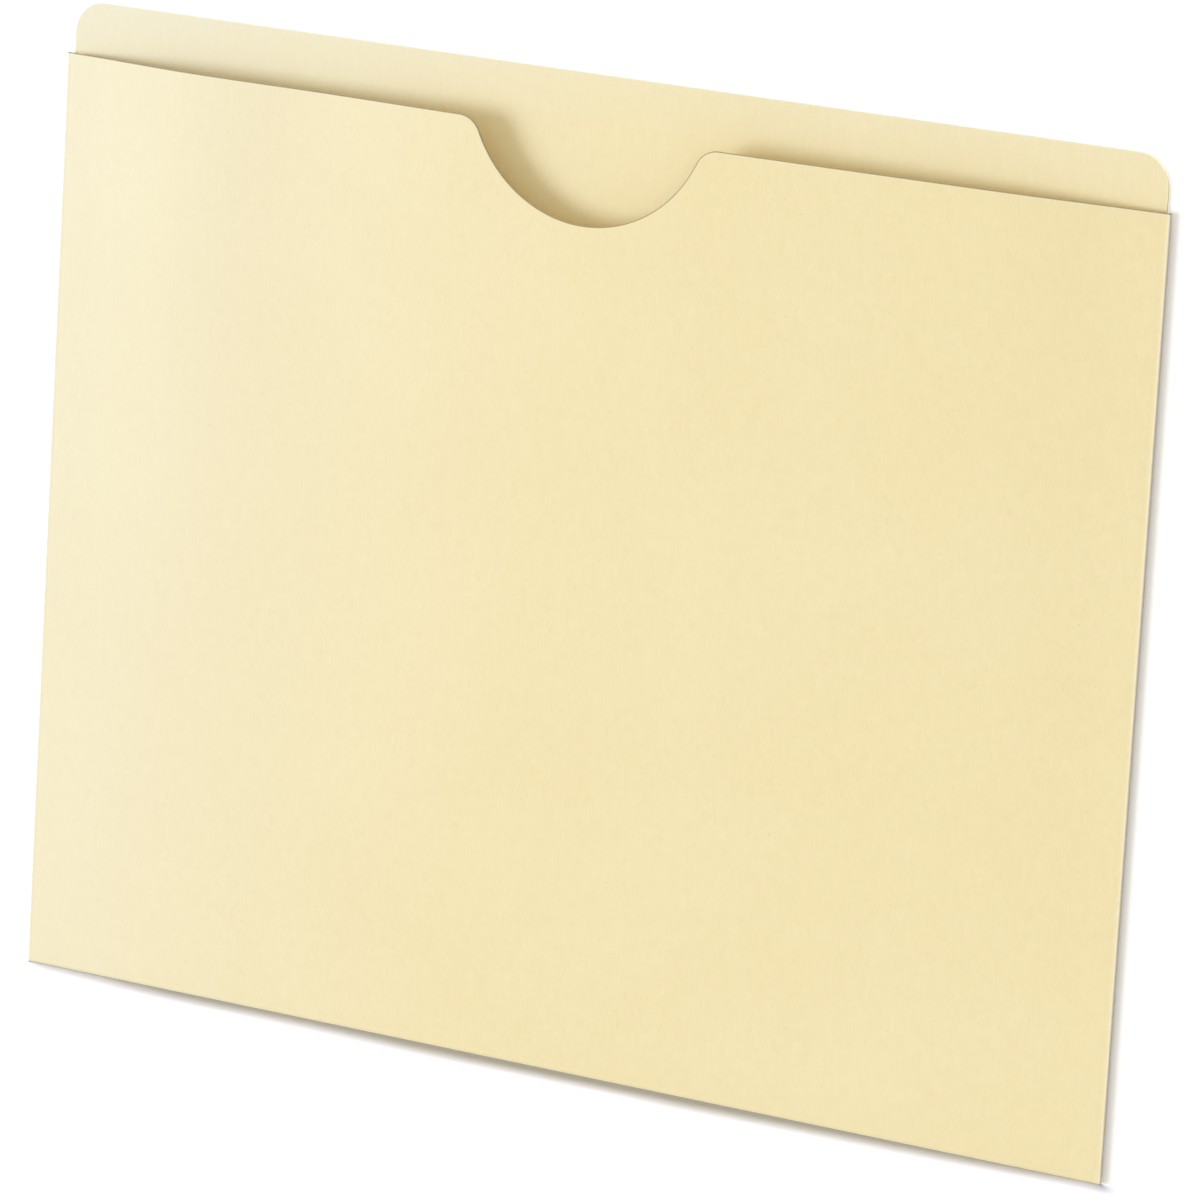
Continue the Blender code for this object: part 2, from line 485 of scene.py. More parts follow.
    def _painted_sheen_share(self, tree: Tree, place: bpy.types.NodeSocket) -> Value:
        """Find the share of painted sheen: paler towards the upper left and on the tab."""
        x, _, z = tree.split(place)
        return (z * 0.25 - x * 1.50 - 0.045).most(0.0) + ((z - self.tab_line) * 6.0).most(0.0)

    def _wear_and_highlight(self, fold: Value, edge: Value) -> Value:
        """Find where folds and cut lips are paler, from the distances to both: partly wear, partly a
        painted highlight that lifts the folds where they turn away from the light.
        """
        on_fold, on_edge = 1 - fold.ramp(*self.fold_wear_and_highlight), 1 - edge.ramp(*self.edge_wear_and_highlight)
        return (on_fold * 0.8).most(on_edge * 0.35)


@dataclass(frozen=True)
class CutStock:
    """The raw edge of the card: rough core with its plies showing."""

    name: str = "cut_card_edge"
    core: Colour = (0.76, 0.64, 0.37)
    ply: Colour = (0.58, 0.46, 0.25)
    roughness: float = 0.85
    specular: float = 0.3
    tooth: float = 0.02 * MM
    fuzz_scale: float = 2600.0
    ply_scale: Point = (160.0, 9000.0, 160.0)

    def material(self) -> bpy.types.Material:
        """Build the cut edge's material.

        Returns:
            The material.
        """
        material, tree = new_material(self.name)
        place = tree.add("ShaderNodeTexCoord").outputs["Object"]
        fuzz = tree.noise(place, self.fuzz_scale, 3.0, 0.65)
        plies = tree.noise(tree.turned(place, 0.0, self.ply_scale), 1.0, 1.0)
        share = ((fuzz - 0.5) * 0.7 + (plies - 0.5) * 0.6 + 0.3).ramp(0.0, 1.0)
        colour = tree.mix(share, rgba(self.core), rgba(self.ply))
        tree.dress(colour, self.roughness + (fuzz - 0.5) * 0.2, self.specular, {
            "Strength": 0.6, "Distance": self.tooth, "Height": fuzz})
        return material


@dataclass(frozen=True)
class DryAdhesive:
    """A dried film of paper adhesive, streaked along the way that it was drawn."""

    thin: Colour = (0.86, 0.80, 0.62)
    thick: Colour = (0.74, 0.66, 0.46)
    roughness: float = 0.34
    specular: float = 0.5
    ridge: float = 0.04 * MM
    streak_scale: Point = (900.0, 900.0, 60.0)
    pool_scale: float = 240.0

    def material(self) -> bpy.types.Material:
        """Build the film's material.

        Returns:
            The material.
        """
        material, tree = new_material("dry_adhesive")
        place = tree.add("ShaderNodeTexCoord").outputs["Object"]
        streaks = tree.noise(tree.turned(place, 0.0, self.streak_scale), 1.0, 3.0)
        pools = tree.noise(place, self.pool_scale, 3.0)
        share = (0.5 + (streaks - 0.5) * 1.1 + (pools - 0.5) * 0.8).ramp(0.1, 0.9)
        colour = tree.mix(share, rgba(self.thin), rgba(self.thick))
        tree.dress(colour, self.roughness + share * 0.15, self.specular, {
            "Strength": 0.5, "Distance": self.ridge, "Height": share})
        return material


@dataclass(frozen=True)
class StudioPaper:
    """Matt paper of the floor and the board, white to the camera and grey in the card's sheen."""

    name: str
    white: Colour
    bounce: Colour = (0.20, 0.20, 0.195)
    glow: float = 0.0
    seen_from_behind: bool = True
    tooth_scale: float = 900.0
    tooth_depth: float = 0.02 * MM

    def material(self) -> bpy.types.Material:
        """Build the paper's material.

        Returns:
            The material.
        """
        material, tree = new_material(self.name)
        place = tree.add("ShaderNodeTexCoord").outputs["Object"]
        tooth = tree.noise(place, self.tooth_scale, 3.0)
        direct, shown = tree.sight()
        tint = tree.mix(tooth * 0.04, rgba(self.white), rgba(self.bounce))
        bump = tree.add("ShaderNodeBump", None, {
            "Strength": 0.2, "Distance": self.tooth_depth, "Height": tooth})
        paper = tree.add("ShaderNodeBsdfDiffuse", None, {
            "Color": tree.mix(direct, rgba(self.bounce), tint), "Normal": bump.outputs[0]})
        glow = tree.add("ShaderNodeEmission", None, {
            "Color": tree.mix(shown, BLACK, WHITE), "Strength": self.glow})
        surface = tree.add("ShaderNodeAddShader", None, {0: paper.outputs[0], 1: glow.outputs[0]})
        if not self.seen_from_behind:
            clear = tree.add("ShaderNodeBsdfTransparent")
            behind = tree.add("ShaderNodeNewGeometry").outputs["Backfacing"]
            surface = tree.add("ShaderNodeMixShader", None, {
                0: behind, 1: surface.outputs[0], 2: clear.outputs[0]})
        tree.add("ShaderNodeOutputMaterial", None, {"Surface": surface.outputs[0]})
        return material


@dataclass(frozen=True)
class Finishes:
    """The jacket's materials, each made once."""

    card: bpy.types.Material
    front: bpy.types.Material
    cut: bpy.types.Material
    handled: bpy.types.Material
    adhesive: bpy.types.Material

    @classmethod
    def make(cls) -> "Finishes":
        """Build them all.

        Returns:
            The finishes.
        """
        # The front's cut lip gets a near-black edge: painted shade of the gap behind the lip.
        handled = CutStock("handled_card_edge", (0.15, 0.12, 0.055), (0.09, 0.07, 0.03))
        return cls(
            card=Manila().material(),
            # The front's card carries the painted shade along its lip.
            front=Manila("handled_manila_card", lip_shade_strength=0.8).material(),
            cut=CutStock().material(),
            handled=handled.material(),
            adhesive=DryAdhesive().material(),
        )


@dataclass(frozen=True)
class JacketSizes:
    """The folded jacket's sizes, in metres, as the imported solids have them."""

    stock: float
    front_mid: float
    flap_mid: float
    back_mid: float
    front_half: float
    back_half: float
    front_foot: float
    lip: float
    tab_top: float
    crease: float
    roll_mid: float
    fold_line: float
    fold_mid: float
    flap_inner: float
    flap_foot: float
    flap_top: float
    tab_corner: float = 7.9 * MM
    flap_taper: float = 9.0 * MM
    thumb_radius: float = 32.5 * MM
    thumb_depth: float = 22.2 * MM
    thumb_shoulder: float = 6.2 * MM
    gape: float = 5.7 * MM

    @classmethod
    def from_frame(cls) -> "JacketSizes":
        """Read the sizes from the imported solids' boxes.

        Returns:
            The sizes.
        """
        back_low, back_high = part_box("back_panel")
        front_low, front_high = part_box("front_panel")
        roll_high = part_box("bottom_fold")[1]
        fold_low, fold_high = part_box("right_side_fold")
        flap_low, flap_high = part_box("right_side_flap")
        stock = back_high.y - back_low.y
        return cls(
            stock=stock,
            front_mid=front_high.y - stock / 2,
            flap_mid=(flap_low.y + flap_high.y) / 2,
            back_mid=(back_low.y + back_high.y) / 2,
            front_half=front_high.x,
            back_half=back_high.x,
            front_foot=front_low.z,
            lip=front_high.z,
            tab_top=back_high.z,
            crease=roll_high.z,
            roll_mid=roll_high.z - stock / 2,
            fold_line=fold_low.x,
            fold_mid=fold_high.x - fold_low.x - stock / 2,
            flap_inner=flap_low.x,
            flap_foot=flap_low.z,
            flap_top=flap_high.z,
        )


@dataclass(frozen=True)
class RowPlan:
    """How a blank is ruled upwards: its foot and its top follow the cut, the rows between are level."""

    low: Sequence[float]
    high_line: float
    high_rows: int
    step: float = 4.0 * MM

    def heights(self, foot: float, top: float) -> list[float]:
        """Rule one column.

        Args:
            foot: Where the column starts.
            top: Where it ends.

        Returns:
            The heights of its points.
        """
        base, line = self.low[0], self.low[-1]
        lower = [foot + (height - base) / (line - base) * (line - foot) for height in self.low]
        middle = spread(line, self.high_line, self.step)[1:]
        upper = [self.high_line + (top - self.high_line) * share / self.high_rows
                 for share in range(1, self.high_rows + 1)]
        return lower + middle + upper


@dataclass
class Blank:
    """A flat piece of card, cut to its outline and ruled into cells."""

    name: str
    columns: Sequence[float]
    rows: RowPlan
    foot: Callable[[float], float]
    top: Callable[[float], float]
    to_fold: Callable[[float, float], float]
    to_edge: Callable[[float, float], float]

    def mesh(self) -> bpy.types.Mesh:
        """Rule the blank, across in X and up in Z, with its distances to fold and cut edge.

        Returns:
            The flat mesh.
        """
        grid = [[(s, t) for t in self.rows.heights(self.foot(s), self.top(s))] for s in self.columns]
        tall = len(grid[0])
        flat = [point for column in grid for point in column]
        faces = [
            (i * tall + j, (i + 1) * tall + j, (i + 1) * tall + j + 1, i * tall + j + 1)
            for i in range(len(grid) - 1) for j in range(tall - 1)
        ]
        mesh = bpy.data.meshes.new(self.name)
        mesh.from_pydata([(s, 0.0, t) for s, t in flat], [], faces)
        for measure, rule in ((Measure.FOLD, self.to_fold), (Measure.EDGE, self.to_edge)):
            layer = mesh.attributes.new(measure.value, "FLOAT", "POINT")
            layer.data.foreach_set("value", [rule(s, t) for s, t in flat])
        return mesh


class FoldRule:
    """The rule that folds a flat blank, bows it and gives it the stock's thickness, as a node tree."""

    BOW_ACROSS = (0.0, 0.67, 0.69, 0.93, 1.0, 0.93, 0.75, 0.5, 0.0)
    BOW_UP = (0.0, 0.22, 0.46, 0.73, 1.0)
    NUMBERS = (
        "Fold line", "Fold radius", "Crease height", "Roll radius", "Roll way", "Face depth",
        "Half width", "Bow foot", "Bow top", "Gape", "Cockle", "Score depth", "Score inset",
        "Score width", "Stock",
    )
    MATERIALS = ("Card", "Cut edge")
    WELD = 0.002 * MM
    EASE_PARTS = 4
    RIPPLE_SCALE = 13.0
    RIPPLE_SLICE = 0.37
    RIPPLE_STRETCH = 0.6

    def __init__(self) -> None:
        """Build the tree."""
        self.group = bpy.data.node_groups.new("fold_the_blank", "GeometryNodeTree")
        self.tree = Tree(self.group)
        self.keys: dict[str, str] = {}
        face = self.group.interface
        face.new_socket(name="Geometry", in_out="INPUT", socket_type="NodeSocketGeometry")
        for names, kind in ((self.NUMBERS, "NodeSocketFloat"), (self.MATERIALS, "NodeSocketMaterial")):
            for name in names:
                self.keys[name] = face.new_socket(name=name, in_out="INPUT", socket_type=kind).identifier
        face.new_socket(name="Geometry", in_out="OUTPUT", socket_type="NodeSocketGeometry")
        self.given = self.tree.add("NodeGroupInput")
        self._thicken(self._fold())

    def _number(self, name: str) -> Value:
        """Read a named size."""
        return Value(self.tree, self.given.outputs[name])

    def _share(self, levels: Sequence[float], along: Value) -> Value:
        """Read the bow's share from evenly spaced levels, eased between them.

        Args:
            levels: The shares, from one end to the other.
            along: Where the share is read, from 0 to 1.

        Returns:
            The share there.
        """
        steps = (len(levels) - 1) * self.EASE_PARTS
        points = [(step / steps, self._eased(levels, step / self.EASE_PARTS))
                  for step in range(steps + 1)]
        return self.tree.value("ShaderNodeFloatCurve", 0, {"points": points}, {"Value": along})

    @staticmethod
    def _eased(levels: Sequence[float], place: float) -> float:
        """Pass a smooth line through levels.

        Args:
            levels: What the line passes through, one step apart.
            place: Where it is read, in steps.

        Returns:
            The line's height there.
        """
        last = len(levels) - 1
        step = min(int(place), last - 1)
        share = place - step
        before, here, there, after = (levels[min(max(step + near, 0), last)] for near in (-1, 0, 1, 2))
        bend = 2 * before - 5 * here + 4 * there - after
        twist = 3 * (here - there) + after - before
        return here + 0.5 * share * (there - before + share * (bend + share * twist))

    def _score(self, distance: Value) -> Value:
        """Press a score at its inset from a fold, given the distance inwards from that fold."""
        off = abs(distance - self._number("Score inset")) / self._number("Score width")
        return self._number("Score depth") * (1 - off.ramp(0.0, 1.0))

    def _fold(self) -> bpy.types.NodeSocket:
        """Roll the side and foot of the flat blank and bow its face forward.

        Returns:
            The folded middle surface.
        """
        tree = self.tree
        across, _, up = tree.split(tree.add("GeometryNodeInputPosition").outputs[0])
        reach = abs(across)
        fold_line, fold_radius = self._number("Fold line"), self._number("Fold radius")
        crease, roll_radius = self._number("Crease height"), self._number("Roll radius")
        turn = ((reach - fold_line) / fold_radius).most(0.0).least(HALF_TURN)
        roll = ((-up) / roll_radius).most(0.0).least(HALF_TURN)
        x = across.sign() * (reach.least(fold_line) + fold_radius * turn.sine())
        z = crease + up.most(0.0) - roll_radius * roll.sine()
        deeper = fold_radius * (1 - turn.cosine())
        deeper = deeper + self._number("Roll way") * roll_radius * (1 - roll.cosine())

        foot, half = self._number("Bow foot"), self._number("Half width")
        bow = self._share(self.BOW_ACROSS, x / half * 0.5 + 0.5)
        bow = bow * self._share(self.BOW_UP, (z - foot) / (self._number("Bow top") - foot))
        around = tree.join(x, self.RIPPLE_SLICE, z * self.RIPPLE_STRETCH)
        ripple = tree.noise(around, self.RIPPLE_SCALE, 1.0) - 0.5
        deeper = deeper - bow * self._number("Gape") + bow * ripple * self._number("Cockle")
        deeper = deeper + self._score(fold_line - reach) + self._score(up)
        place = tree.join(x, self._number("Face depth") + deeper, z)
        return tree.add("GeometryNodeSetPosition", None, {
            "Geometry": self.given.outputs["Geometry"], "Position": place}).outputs[0]

    def _thicken(self, folded: bpy.types.NodeSocket) -> None:
        """Give the folded surface both faces and its cut edge, and end the tree.

        Args:
            folded: The folded middle surface.
        """
        tree, stock = self.tree, self._number("Stock")
        inwards = tree.add("ShaderNodeVectorMath", {"operation": "SCALE"}, {
            0: tree.add("GeometryNodeInputNormal").outputs[0], "Scale": stock * -0.5})
        inner = tree.add("GeometryNodeSetPosition", None, {
            "Geometry": folded, "Offset": inwards.outputs[0]}).outputs[0]
        outer = tree.add("GeometryNodeExtrudeMesh", {"mode": "FACES"}, {
            "Mesh": inner, "Offset Scale": stock, "Individual": False})
        turned = tree.add("GeometryNodeFlipFaces", None, {"Mesh": inner})
        whole = tree.add("GeometryNodeJoinGeometry")
        tree.feed(whole.inputs[0], outer.outputs["Mesh"])
        tree.feed(whole.inputs[0], turned.outputs[0])
        closed = tree.add("GeometryNodeMergeByDistance", None, {
            "Geometry": whole.outputs[0], "Distance": self.WELD})
        solid = tree.add("GeometryNodeRealizeInstances", None, {"Geometry": closed.outputs[0]})
        card = tree.add("GeometryNodeSetMaterial", None, {
            "Geometry": solid.outputs[0], "Material": self.given.outputs["Card"]})
        edged = tree.add("GeometryNodeSetMaterial", None, {
            "Geometry": card.outputs[0], "Selection": outer.outputs["Side"],
            "Material": self.given.outputs["Cut edge"]})
        tree.add("NodeGroupOutput", None, {"Geometry": edged.outputs[0]})

    def fold(self, blank: Blank, values: Mapping[str, object]) -> bpy.types.Object:
        """Fold one blank into a plain mesh object.

        Args:
            blank: The flat piece.
            values: The tree's named inputs.

        Returns:
            The folded piece, at the origin.
        """
        piece = bpy.data.objects.new(blank.name, blank.mesh())
        bpy.context.scene.collection.objects.link(piece)
        modifier = piece.modifiers.new("fold", "NODES")
        modifier.node_group = self.group
        for name, value in values.items():
            modifier[self.keys[name]] = value
        graph = bpy.context.evaluated_depsgraph_get()
        folded = bpy.data.meshes.new_from_object(piece.evaluated_get(graph))
        piece.modifiers.remove(modifier)
        flat = piece.data
        piece.data = folded
        bpy.data.meshes.remove(flat)
        folded.name = blank.name
        folded.shade_smooth()
        folded.set_sharp_from_angle(angle=SHARP_ANGLE)
        return piece


@dataclass
class Sheet:
    """One folded part of the jacket's blank, with what all such parts share."""

    sizes: JacketSizes
    rule: FoldRule
    finishes: Finishes
    roll_parts: int = 9
    low_reach: float = 2.4 * MM
    low_step: float = 0.3 * MM
    score_depth: float = 0.025 * MM
    score_inset: float = 0.9 * MM
    score_width: float = 0.55 * MM

    @property
    def roll_end(self) -> float:
        """Where the blank ends at the middle of the bottom roll, measured up from its start."""
        return -QUARTER_TURN * self.sizes.roll_mid

    def low_rows(self) -> list[float]:
        """Rule the roll and the score above it finely."""
        return rising(spread(self.roll_end, 0.0, -self.roll_end / self.roll_parts)
                      + spread(0.0, self.low_reach, self.low_step))

    def values(self, **changes: object) -> dict[str, object]:
        """Give the fold rule's inputs for a flat part, with some changed.

        Args:
            changes: Inputs by name, with spaces as underscores.

        Returns:
            All the inputs.
        """
        sizes = self.sizes
        given: dict[str, object] = {
            "Fold line": 1.0, "Fold radius": sizes.fold_mid, "Crease height": sizes.crease,
            "Roll radius": sizes.roll_mid, "Roll way": 1.0, "Face depth": sizes.back_mid,
            "Half width": sizes.front_half, "Bow foot": sizes.front_foot, "Bow top": sizes.lip,
            "Gape": 0.0, "Cockle": 0.0, "Score depth": 0.0, "Score inset": self.score_inset,
            "Score width": self.score_width, "Stock": sizes.stock,
            "Card": self.finishes.card, "Cut edge": self.finishes.cut,
        }
        given.update({name.replace("_", " "): value for name, value in changes.items()})
        return given


@dataclass
class FrontSheet(Sheet):
    """The front: two halves that meet at the middle, each with its rolled side and its roll at the foot.
    """

    fold_parts: int = 12
    bowl_step: float = 1.0 * MM
    shoulder_step: float = 0.4 * MM
    panel_step: float = 2.8 * MM
    rim_reach: float = 3.0 * MM
    rim_step: float = 0.25 * MM
    slope_step: float = 0.05 * MM
    high_line: float = 168.0 * MM
    high_rows: int = 32
    still: float = 6.0 * MM
    crown: float = 14.0 * MM
    corner_lift: float = 0.6
    cockle: float = 0.5 * MM
    thumb: tuple[float, float, float] = field(init=False)

    def __post_init__(self) -> None:
        """Work out the thumb cut's bowl and shoulders."""
        sizes = self.sizes
        bowl = sizes.lip - sizes.thumb_depth + sizes.thumb_radius
        shoulder = sizes.lip - sizes.thumb_shoulder
        reach = math.sqrt((sizes.thumb_radius + sizes.thumb_shoulder) ** 2 - (bowl - shoulder) ** 2)
        self.thumb = (bowl, shoulder, reach)

    @property
    def wall(self) -> float:
        """How far from the middle the bowl runs into its shoulder."""
        bowl, shoulder, reach = self.thumb
        return reach - self.sizes.thumb_shoulder * math.cos(math.atan2(bowl - shoulder, reach))

    def lip_height(self, across: float) -> float:
        """Give the height of the cut edge above the bottom crease.

        Args:
            across: The distance from the middle, either way.

        Returns:
            The height up the blank.
        """
        sizes = self.sizes
        bowl, shoulder, reach = self.thumb
        away = abs(across)
        if away >= reach:
            height = sizes.lip
        elif away >= self.wall:
            height = shoulder + math.sqrt(max(0.0, sizes.thumb_shoulder ** 2 - (reach - away) ** 2))
        else:
            height = bowl - math.sqrt(sizes.thumb_radius ** 2 - away ** 2)
        return height - sizes.crease

    def foot_height(self, across: float) -> float:
        """Give the blank's lower end, in the bottom roll and cut back more and more round the side fold."""
        round_fold = max(0.0, abs(across) - self.sizes.fold_line) / (HALF_TURN * self.sizes.fold_mid)
        return self.roll_end * (1.0 - self.corner_lift * round_fold)

    def to_fold(self, across: float, up: float) -> float:
        """Give the distance to the crown of the nearer fold."""
        crown = self.sizes.fold_line + QUARTER_TURN * self.sizes.fold_mid
        return min(abs(abs(across) - crown), abs(up - self.roll_end))

    def to_edge(self, across: float, up: float) -> float:
        """Give the distance to the cut lip.

        Args:
            across: The place across the blank.
            up: The place up it.

        Returns:
            The distance.
        """
        away, step = abs(across), self.slope_step
        slope = (self.lip_height(away + step) - self.lip_height(away - step)) / (2 * step)
        return max(0.0, self.lip_height(across) - up) / math.hypot(1.0, slope)

    def columns(self) -> list[float]:
        """Rule one half across, finely at the shoulder and over the side fold.

        Returns:
            The columns' distances from the middle.
        """
        sizes = self.sizes
        reach = self.thumb[2]
        inner = sizes.fold_line - self.rim_reach
        places = spread(0.0, self.wall, self.bowl_step) + spread(self.wall, reach, self.shoulder_step)
        places += spread(reach, inner, self.panel_step) + spread(inner, sizes.fold_line, self.rim_step)
        arc = HALF_TURN * sizes.fold_mid
        places += spread(sizes.fold_line, sizes.fold_line + arc, arc / self.fold_parts)
        return rising(places)

    def build(self) -> list[bpy.types.Object]:
        """Fold both halves.

        Returns:
            The two halves.
        """
        return [self._half(side) for side in Side]

    def _half(self, side: Side) -> bpy.types.Object:
        """Fold one half.

        Args:
            side: The hand.

        Returns:
            The half.
        """
        sizes = self.sizes
        blank = Blank(
            name=f"front_sheet_{side.word}",
            columns=sorted(side.value * place for place in self.columns()),
            rows=RowPlan(self.low_rows(), self.high_line, self.high_rows),
            foot=self.foot_height,
            top=self.lip_height,
            to_fold=self.to_fold,
            to_edge=self.to_edge,
        )
        piece = self.rule.fold(blank, self.values(
            Fold_line=sizes.fold_line, Face_depth=sizes.front_mid, Gape=sizes.gape,
            Cockle=self.cockle, Score_depth=self.score_depth,
            Card=self.finishes.front, Cut_edge=self.finishes.handled))
        held = Vector((side.value * (sizes.fold_line - self.still), sizes.front_mid, 0.0))
        free = Vector((side.value * self.crown, sizes.front_mid, 0.0))
        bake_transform(piece)
        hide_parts("front_panel", f"{side.word}_side_fold")
        return piece


@dataclass
class BackSheet(Sheet):
    """The back: a flat sheet that rises past the front as the tab, with its half of the bottom roll."""

    high_line: float = 225.0 * MM
    high_rows: int = 8
    corner_parts: int = 12
    panel_step: float = 3.0 * MM
    cockle: float = 0.15 * MM

    @property
    def straight(self) -> float:
        """How far from the middle the tab's corners start."""
        return self.sizes.back_half - self.sizes.tab_corner

    @property
    def upright(self) -> float:
        """How far up the blank the tab's corners start."""
        return self.sizes.tab_top - self.sizes.crease - self.sizes.tab_corner

    def top_height(self, across: float) -> float:
        """Give the tab's height above the bottom crease, its corners rounded."""
        past, radius = max(0.0, abs(across) - self.straight), self.sizes.tab_corner
        return self.upright + math.sqrt(max(0.0, radius ** 2 - past ** 2))

    def to_fold(self, across: float, up: float) -> float:
        """Give the distance to the bottom fold's crown."""
        return abs(up - self.roll_end)

    def to_edge(self, across: float, up: float) -> float:
        """Give the distance to the cut sides and tab, at most the radius of the tab's corners."""
        past, above = max(0.0, abs(across) - self.straight), max(0.0, up - self.upright)
        return max(0.0, self.sizes.tab_corner - math.hypot(past, above))

    def columns(self) -> list[float]:
        """Rule the back across, finely round the tab's corners.

        Returns:
            The columns, from left to right.
        """
        places = spread(0.0, self.straight, self.panel_step)
        for part in range(self.corner_parts + 1):
            turn = QUARTER_TURN * part / self.corner_parts
            places.append(self.straight + self.sizes.tab_corner * math.sin(turn))
        return rising(places + [-place for place in places])

    def build(self) -> bpy.types.Object:
        """Fold the back and set it on the pocket.

        Returns:
            The back.
        """
        blank = Blank(
            name="back_sheet",
            columns=self.columns(),
            rows=RowPlan(self.low_rows(), self.high_line, self.high_rows),
            foot=lambda across: self.roll_end,
            top=self.top_height,
            to_fold=self.to_fold,
            to_edge=self.to_edge,
        )
        piece = self.rule.fold(blank, self.values(
            Roll_way=-1.0, Cockle=self.cockle, Score_depth=-self.score_depth))
        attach(piece, Body.POCKET.value)
        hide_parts("back_panel", "bottom_fold")
        return piece


@dataclass
class SideFlaps(Sheet):
    """The two tapered flaps that turn in from the side folds and are glued to the back."""

    across_step: float = 1.6 * MM
    up_step: float = 4.0 * MM
    low_line: float = 20.0 * MM
    high_line: float = 205.0 * MM
    high_rows: int = 6
    fold_away: float = 0.5 * MM

    def taper(self, across: float) -> float:
        """Give how far a column's ends are cut in, from nothing at the fold to all at the inner edge."""
        sizes = self.sizes
        return sizes.flap_taper * ((sizes.fold_line - abs(across)) / (sizes.fold_line - sizes.flap_inner))

    def foot_height(self, across: float) -> float:
        """Give the flap's lower cut edge above the bottom crease."""
        return self.sizes.flap_foot - self.sizes.crease + self.taper(across)

    def top_height(self, across: float) -> float:
        """Give the flap's upper cut edge above the bottom crease."""
        return self.sizes.flap_top - self.sizes.crease - self.taper(across)

    def to_edge(self, across: float, up: float) -> float:
        """Give the distance to the flap's cut edges."""
        ends = min(up - self.foot_height(across), self.top_height(across) - up)
        return max(0.0, min(ends, abs(across) - self.sizes.flap_inner))

    def build(self) -> list[bpy.types.Object]:
        """Cut both flaps and set them on the pocket.

        Returns:
            The two flaps.
        """
        return [self._flap(side) for side in Side]

    def _flap(self, side: Side) -> bpy.types.Object:
        """Cut one flap.

        Args:
            side: The hand.

        Returns:
            The flap.
        """
        sizes = self.sizes
        places = spread(sizes.flap_inner, sizes.fold_line, self.across_step)
        low_rows = spread(0.0, self.low_line, self.up_step)
        blank = Blank(
            name=f"side_flap_{side.word}",
            columns=sorted(side.value * place for place in places),
            rows=RowPlan(low_rows, self.high_line, self.high_rows),
            foot=self.foot_height,
            top=self.top_height,
            to_fold=lambda across, up: sizes.fold_line - abs(across) + self.fold_away,
            to_edge=self.to_edge,
        )
        piece = self.rule.fold(blank, self.values(Face_depth=sizes.flap_mid))
        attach(piece, Body.POCKET.value)
        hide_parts(f"{side.word}_side_flap")
        return piece


@dataclass
class GlueLines:
    """The two dried glue lines between flap and back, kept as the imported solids."""

    finishes: Finishes

    def dress(self) -> list[bpy.types.Object]:
        """Give both lines their finish.

        Returns:
            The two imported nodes.
        """
        lines = [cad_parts[f"{side.word}_glue_line"] for side in Side]
        for line in lines:
            line.data.materials.clear()
            line.data.materials.append(self.finishes.adhesive)
        return lines


@dataclass(frozen=True)
class Softbox:
    """A soft round lamp."""

    name: str
    place: Point
    aim: Point
    size: float
    power: float
    colour: Colour = (1.0, 1.0, 1.0)

    def build(self) -> None:
        """Hang the lamp, unseen by the camera itself."""
        lamp = bpy.data.lights.new(self.name, "AREA")
        lamp.shape = "DISK"
        lamp.size = self.size
        lamp.energy = self.power
        lamp.color = self.colour
        hung = bpy.data.objects.new(self.name, lamp)
        hung.location = self.place
        away = Vector(self.aim) - Vector(self.place)
        hung.rotation_euler = away.to_track_quat("-Z", "Y").to_euler()
        hung.visible_camera = False
        bpy.context.scene.collection.objects.link(hung)


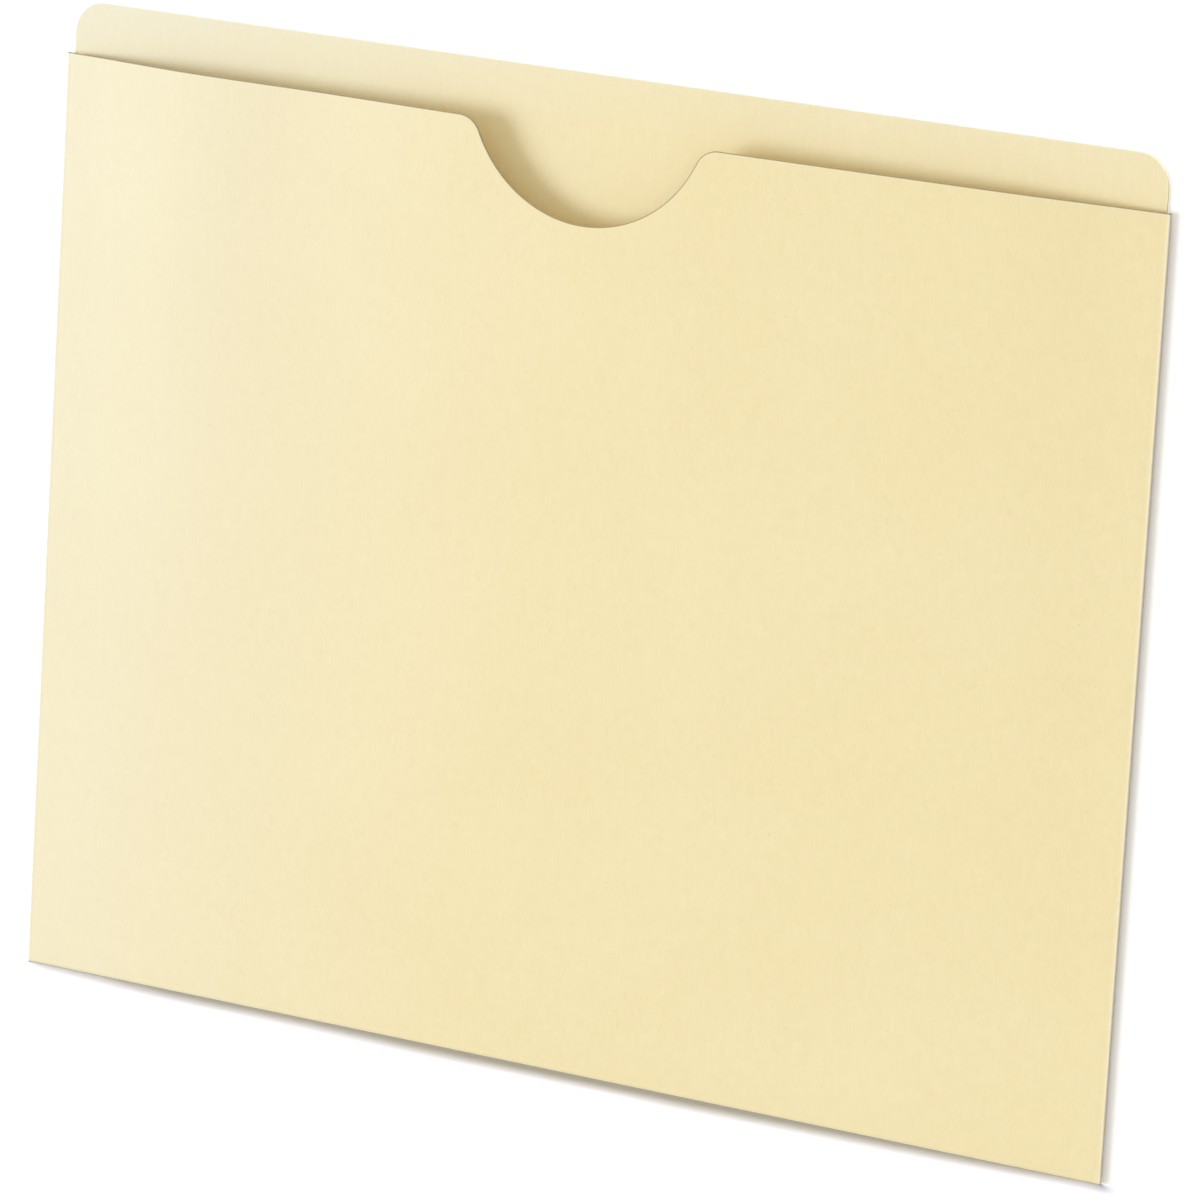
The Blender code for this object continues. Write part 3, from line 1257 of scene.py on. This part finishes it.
@dataclass(frozen=True)
class Studio:
    """A white floor, a white board close behind the jacket, soft lamps and an even surround in front.

    The key light and the back light come from below the floor's level, through the floor.
    """

    floor_drop: float = 0.02 * MM
    board_gap: float = 0.2 * MM
    board_half: float = 0.22
    board_top: float = 0.31
    reach: float = 2.0
    floor_paper: StudioPaper = StudioPaper("floor_paper", (0.52, 0.52, 0.52))
    board_paper: StudioPaper = StudioPaper(
        "board_paper", (0.98, 0.98, 0.98), glow=0.14, seen_from_behind=False)
    surround: Colour = (0.645, 0.602, 0.530)
    horizon: float = 0.02
    lamps: tuple[Softbox, ...] = (
        Softbox("key_softbox", (-2.94, -2.64, -0.35), MIDDLE, 2.3, 84.0, (0.87, 0.97, 1.12)),
        Softbox("fill_softbox", (0.9, -1.3, 0.55), MIDDLE, 1.0, 2.8),
        Softbox("back_softbox", (-2.6, 1.2, -0.8), MIDDLE, 1.2, 240.0),
        Softbox("top_softbox", (-0.40, 0.17, 12.0), (0.0, 0.0, 0.0), 0.75, 3220.0, (0.98, 0.97, 1.10)),
    )

    def build(self, back_face: float) -> list[bpy.types.Object]:
        """Set the studio up behind and under the jacket.

        Args:
            back_face: The depth of the jacket's back.

        Returns:
            The floor and the board.
        """
        far, low = self.reach, -self.floor_drop
        wide, high = self.board_half, self.board_top
        depth = back_face + self.board_gap
        floor = self._plane("studio_floor", self.floor_paper, [
            (-far, -far, low), (far, -far, low), (far, far, low), (-far, far, low)])
        board = self._plane("studio_board", self.board_paper, [
            (-wide, depth, low), (wide, depth, low), (wide, depth, high), (-wide, depth, high)])
        for lamp in self.lamps:
            lamp.build()
        self._surround()
        return [floor, board]

    @staticmethod
    def _plane(name: str, paper: StudioPaper, edges: Sequence[Point]) -> bpy.types.Object:
        """Stretch a sheet of studio paper that takes shadows and blocks no light.

        Args:
            name: The sheet's name.
            paper: Its finish.
            edges: Its four corners in turn.

        Returns:
            The sheet.
        """
        mesh = bpy.data.meshes.new(name)
        mesh.from_pydata(edges, [], [(0, 1, 2, 3)])
        mesh.materials.append(paper.material())
        sheet = bpy.data.objects.new(name, mesh)
        sheet.visible_shadow = False
        sheet.visible_diffuse = False
        bpy.context.scene.collection.objects.link(sheet)
        return sheet

    def _surround(self) -> None:
        """Light the jacket evenly from the front, and show white beyond the paper."""
        world = bpy.data.worlds.new("studio_surround")
        world.use_nodes = True
        bpy.context.scene.world = world
        tree = Tree(world.node_tree)
        depth = tree.split(tree.add("ShaderNodeTexCoord").outputs["Generated"])[1]
        light = tree.mix(depth.ramp(-self.horizon, self.horizon), rgba(self.surround), BLACK)
        light = tree.mix(tree.sight()[1], light, WHITE)
        around = tree.add("ShaderNodeBackground", None, {"Color": light, "Strength": 1.0})
        tree.add("ShaderNodeOutputWorld", None, {"Surface": around.outputs[0]})


@dataclass(frozen=True)
class Viewpoint:
    """The photograph's camera, found from the jacket's edges."""

    azimuth: float = 29.1743
    elevation: float = 12.1552
    roll: float = 3.3711
    distance: float = 1.9884
    lens: float = 252.249
    sensor: float = 36.0
    aim: Point = (0.008842, 0.0, 0.1171573)

    def build(self) -> bpy.types.Object:
        """Set the camera up and make it the scene's.

        Returns:
            The camera.
        """
        turn, lift, roll = (math.radians(angle) for angle in (self.azimuth, self.elevation, self.roll))
        level = Vector((math.cos(turn), math.sin(turn), 0.0))
        back = Vector((math.sin(turn), -math.cos(turn), 0.0)) * math.cos(lift)
        back.z = math.sin(lift)
        upward = back.cross(level)
        right = level * math.cos(roll) + upward * math.sin(roll)
        above = upward * math.cos(roll) - level * math.sin(roll)
        place = Vector(self.aim) + back * self.distance
        lens = bpy.data.cameras.new("photo_camera")
        lens.sensor_width = self.sensor
        lens.lens = self.lens
        camera = bpy.data.objects.new("photo_camera", lens)
        turned = Matrix((right, above, back)).transposed().to_4x4()
        camera.matrix_world = Matrix.Translation(place) @ turned
        bpy.context.scene.collection.objects.link(camera)
        bpy.context.scene.camera = camera
        return camera


def main() -> None:
    """Build the jacket, the studio and the camera."""
    logging.basicConfig(level=logging.INFO, format="%(message)s")
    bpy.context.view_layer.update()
    bpy.context.scene.view_settings.view_transform = "Standard"
    sizes = JacketSizes.from_frame()
    finishes = Finishes.make()
    rule = FoldRule()
    pieces = FrontSheet(sizes, rule, finishes).build()
    pieces.append(BackSheet(sizes, rule, finishes).build())
    pieces += SideFlaps(sizes, rule, finishes).build()
    pieces += GlueLines(finishes).dress()
    for piece in pieces:
        LOG.info("%s: %d faces", piece.name, len(piece.data.polygons))
    for sheet in Studio().build(sizes.back_mid + sizes.stock / 2):
        LOG.info("%s: stage", sheet.name)
    LOG.info("%s set", Viewpoint().build().name)


if __name__ == "__main__":
    main()
